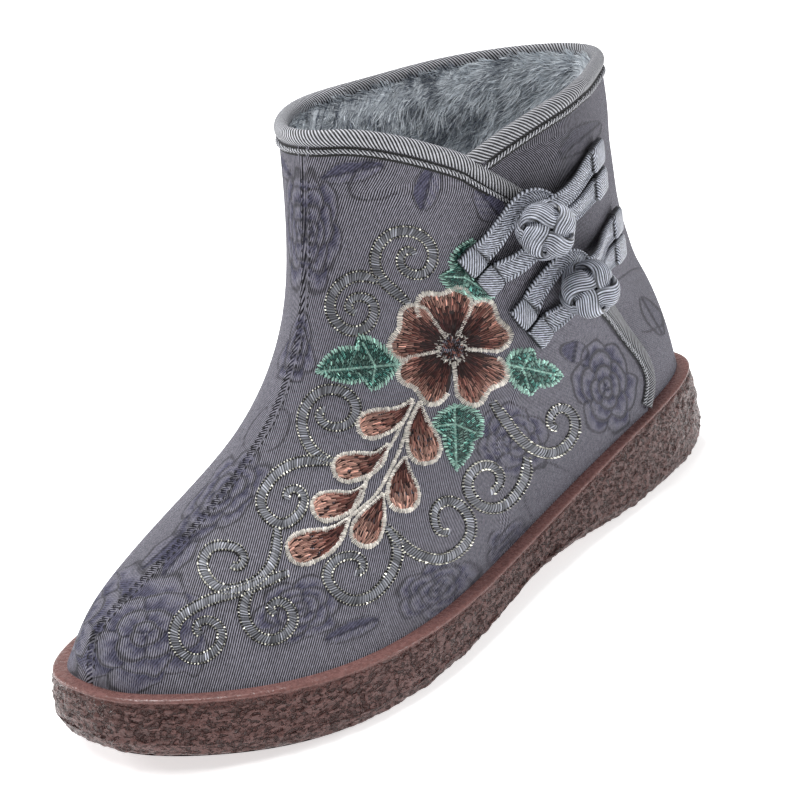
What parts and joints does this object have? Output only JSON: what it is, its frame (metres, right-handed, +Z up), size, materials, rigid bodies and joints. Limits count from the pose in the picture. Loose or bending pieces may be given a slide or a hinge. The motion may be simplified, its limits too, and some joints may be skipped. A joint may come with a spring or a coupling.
{
  "type": "fleece-lined cotton boot",
  "caption": "Left ankle boot with a padded cotton upper, fleece lining, bound collar, wrap-over side with knotted cord fastenings and a moulded crepe rubber sole",
  "frame": {"origin": "middle of the boot's footprint box, on the floor plane", "axes": "+X to the toe, +Y to the lateral side of the left foot, +Z up"},
  "size_m": [0.255, 0.0978, 0.1411],
  "materials": {
    "sole": "crepe wall with a dull sheen",
    "cotton": "grey twill with woven flowers",
    "fleece": "deep plush",
    "tape": "folded twill tape",
    "cord": "braided satin cord"
  },
  "bodies": {
    "root": {"outsole": "sole", "upper": "cotton", "insole": "fleece", "collar_binding": "tape", "wrap_binding": "tape", "upper_frog_loop": "cord", "upper_frog_knot": "cord", "lower_frog_loop": "cord", "lower_frog_knot": "cord"}
  },
  "joints": []
}
